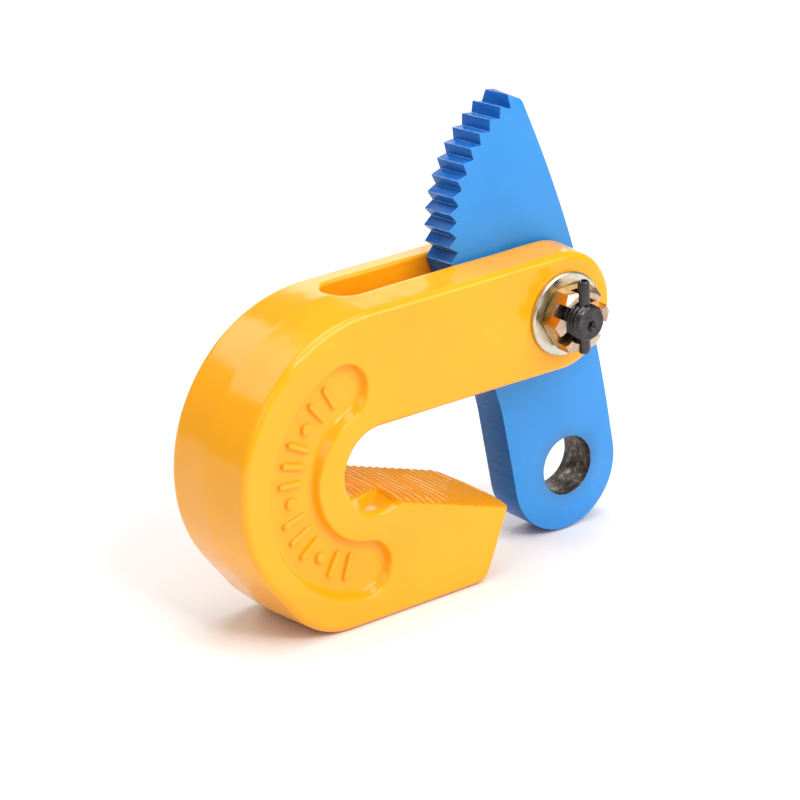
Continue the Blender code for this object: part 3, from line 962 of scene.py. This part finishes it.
def zinc(name, tones, low, high):
    """Zinc plate with a yellow passivation that shifts in tone over the surface."""
    material, tree, shader, coords = new_material(name)
    cloud = noise(tree, coords, 140.0, 4.0, 0.6, 0.8)
    places = [0.3 + 0.4 * index / (len(tones) - 1) for index in range(len(tones))]
    tree.links.new(ramp(tree, cloud, *zip(places, tones)), shader.inputs["Base Color"])
    tree.links.new(spread(tree, noise(tree, coords, 300.0, 4.0), low, high), shader.inputs["Roughness"])
    tree.links.new(bump(tree, noise(tree, coords, 900.0, 4.0), 0.25, 0.00008), shader.inputs["Normal"])
    shader.inputs["Metallic"].default_value = 1.0
    return material


def dull_and_shade_the_grip(obj):
    """Gives the serrated grip the duller, darker paint in slot 1, darkened as painted shade under the upper
    limb, but for some of its ridges' crests, which keep the glossier, lighter paint as painted highlight
    lines.
    """
    polygons = obj.data.polygons
    centres = np.empty(3 * len(polygons))
    normals = np.empty(3 * len(polygons))
    polygons.foreach_get("center", centres)
    polygons.foreach_get("normal", normals)
    x, y, z = ((centres.reshape(-1, 3) - np.array(PIVOT)) / MM).T
    grip, along, saw = grip_field(x, y, z)
    upward = normals.reshape(-1, 3)[:, 2] > 0.4
    # Some crests keep the glossier, lighter paint: the gloss is the paint's own, the lightness a painted
    # highlight line.
    lit_crests = (saw < 0.16) & (swell(x, y, z, 30.0, 31) > -0.15)
    near = np.where(along > POCKET_FROM - 12, 1.6, 0.4)
    on_grip = (np.abs(grip) < near) & (along > 1.0) & (along < JAW_LENGTH) & upward & ~lit_crests
    polygons.foreach_set("material_index", on_grip.astype(np.int32))


def paint_facing_highlight(obj):
    """Gives the nut's machined front faces, turned towards the front lights, the paler plate in slot 1 as a
    painted highlight.
    """
    for polygon in obj.data.polygons:
        if polygon.normal.y < -0.6:
            polygon.material_index = 1


def paint_cut_edges(obj):
    """Gives the arm's cut edges slot 1, partly painted shade, its two bores slot 2 and the narrow bevel
    strips on its teeth slot 3, a painted highlight.
    """
    mesh = obj.data
    for polygon in mesh.polygons:
        centre = (polygon.center - PIVOT) / MM
        from_eye = math.hypot(centre.x - ARM_EYE[0], centre.z - ARM_EYE[1])
        from_pivot = math.hypot(centre.x, centre.z)
        if from_eye < ARM_EYE_RADIUS + 0.2 or from_pivot < BORE_RADIUS + 0.2:
            polygon.material_index = 2
        elif abs(polygon.normal.y) < 0.5:
            from_teeth = math.hypot(centre.x - TOOTH_CENTRE[0], centre.z - TOOTH_CENTRE[1])
            on_teeth = centre.x < -12 and abs(from_teeth - TOOTH_RADIUS + TOOTH_DEPTH / 2) < TOOTH_DEPTH
            narrow = polygon.area < 0.4 * ARM_THICKNESS * MM**2
            # Slot 3 is painted highlight on the teeth's bevel strips; slot 1 darkens the cut edges partly
            # as painted shade.
            polygon.material_index = 3 if on_teeth and narrow else 1


# ---------------------------------------------------------------- stage


def area_light(name, place, target, size, power):
    """A soft light that points at a target."""
    light = bpy.data.lights.new(name, "AREA")
    light.shape = "RECTANGLE"
    light.size, light.size_y = size
    light.energy = power
    obj = bpy.data.objects.new(name, light)
    bpy.context.scene.collection.objects.link(obj)
    obj.location = place
    obj.rotation_euler = (target - place).to_track_quat("-Z", "Y").to_euler()


def make_stage():
    """The floor, the world and the lights."""
    mesh = bpy.data.meshes.new("floor")
    reach = 6.0
    corners = [(-reach, -reach, 0), (reach, -reach, 0), (reach, reach, 0), (-reach, reach, 0)]
    mesh.from_pydata(corners, [], [(0, 1, 2, 3)])
    floor = bpy.data.objects.new("floor", mesh)
    bpy.context.scene.collection.objects.link(floor)
    material, tree, shader, coords = new_material("floor_paper")
    shader.inputs["Roughness"].default_value = 0.9
    tone = ramp(tree, noise(tree, coords, 3.0), (0.3, (0.86, 0.86, 0.86)), (0.7, (0.9, 0.9, 0.9)))
    tree.links.new(tone, shader.inputs["Base Color"])
    mesh.materials.append(material)

    world = bpy.data.worlds.new("studio")
    world.use_nodes = True
    background = world.node_tree.nodes["Background"]
    background.inputs["Color"].default_value = (1.0, 1.0, 1.0, 1.0)
    background.inputs["Strength"].default_value = WORLD_STRENGTH
    bpy.context.scene.world = world
    target = Vector(LIGHTS_AIM)
    for name, place, size, power in LIGHTS:
        area_light(name, target + Vector(place), target, size, power)


def make_camera():
    """The camera, from the front left and above."""
    azimuth = math.radians(CAMERA_AZIMUTH)
    elevation = math.radians(CAMERA_ELEVATION)
    roll = math.radians(CAMERA_ROLL)
    right = Vector((math.cos(azimuth), math.sin(azimuth), 0.0))
    level = math.cos(elevation)
    back = Vector((math.sin(azimuth) * level, -math.cos(azimuth) * level, math.sin(elevation)))
    up = back.cross(right)
    tilted_right = math.cos(roll) * right + math.sin(roll) * up
    tilted_up = math.cos(roll) * up - math.sin(roll) * right
    data = bpy.data.cameras.new("camera")
    data.lens = CAMERA_LENS
    data.sensor_width = 36.0
    data.clip_end = 50.0
    camera = bpy.data.objects.new("camera", data)
    bpy.context.scene.collection.objects.link(camera)
    place = PIVOT + CAMERA_DISTANCE * back + CAMERA_RIGHT * tilted_right + CAMERA_UP * tilted_up
    turn = Matrix((tilted_right, tilted_up, back)).transposed().to_4x4()
    camera.matrix_world = Matrix.Translation(place) @ turn
    bpy.context.scene.camera = camera


# ---------------------------------------------------------------- scene

make_camera()
make_stage()
bpy.context.scene.view_settings.view_transform = "Standard"

black = black_oxide("black_oxide")
pale_tones = ((0.50, 0.48, 0.42), (0.58, 0.55, 0.46), (0.66, 0.63, 0.57))
pale = zinc("pale_zinc_plate", pale_tones, 0.24, 0.34)
gold_tones = ((0.42, 0.23, 0.06), (0.53, 0.32, 0.10), (0.60, 0.42, 0.22))
gold = zinc("gold_zinc_plate", gold_tones, 0.2, 0.34)
# The paler rose plate is a painted highlight on the nut's front faces.
lit_rose_tones = ((0.40, 0.26, 0.17), (0.54, 0.38, 0.28), (0.62, 0.48, 0.38))
lit_rose = zinc("rose_zinc_painted_highlight", lit_rose_tones, 0.2, 0.3)

gloss = body_paint("orange_enamel", 0.10, 0.18, 0.38, 0.98)
# The grip's copy is darkened to 0.74 as painted shade under the upper limb.
shaded_satin = body_paint("orange_enamel_grip_shaded", 0.3, 0.4, 0.012, 0.74)
body = finish(make_body(), "frame", ["clamp_body"], "body_paint", gloss, shaded_satin)
dull_and_shade_the_grip(body)
arm_materials = (arm_paint(), edge_paint(), bare_steel(), edge_glint())
arm = finish(make_arm(), "cam", ["cam_arm"], "arm_paint", *arm_materials)
paint_cut_edges(arm)
finish(make_bolt(), "frame", ["pivot_bolt"], "black_steel", black)
front_washer = make_washer("plate_washer", 1, THREAD_RADIUS + 0.3)
finish(front_washer, "frame", ["nut_washer"], "pale_zinc", pale)
back_washer = make_washer("plate_washer_back", -1, BORE_RADIUS)
finish(back_washer, "frame", ["head_washer"], "pale_zinc", pale)
nut = finish(make_nut(), "frame", ["castle_nut"], "gold_zinc", gold, lit_rose)
paint_facing_highlight(nut)
finish(make_pin(), "frame", ["spring_pin"], "black_steel", black)
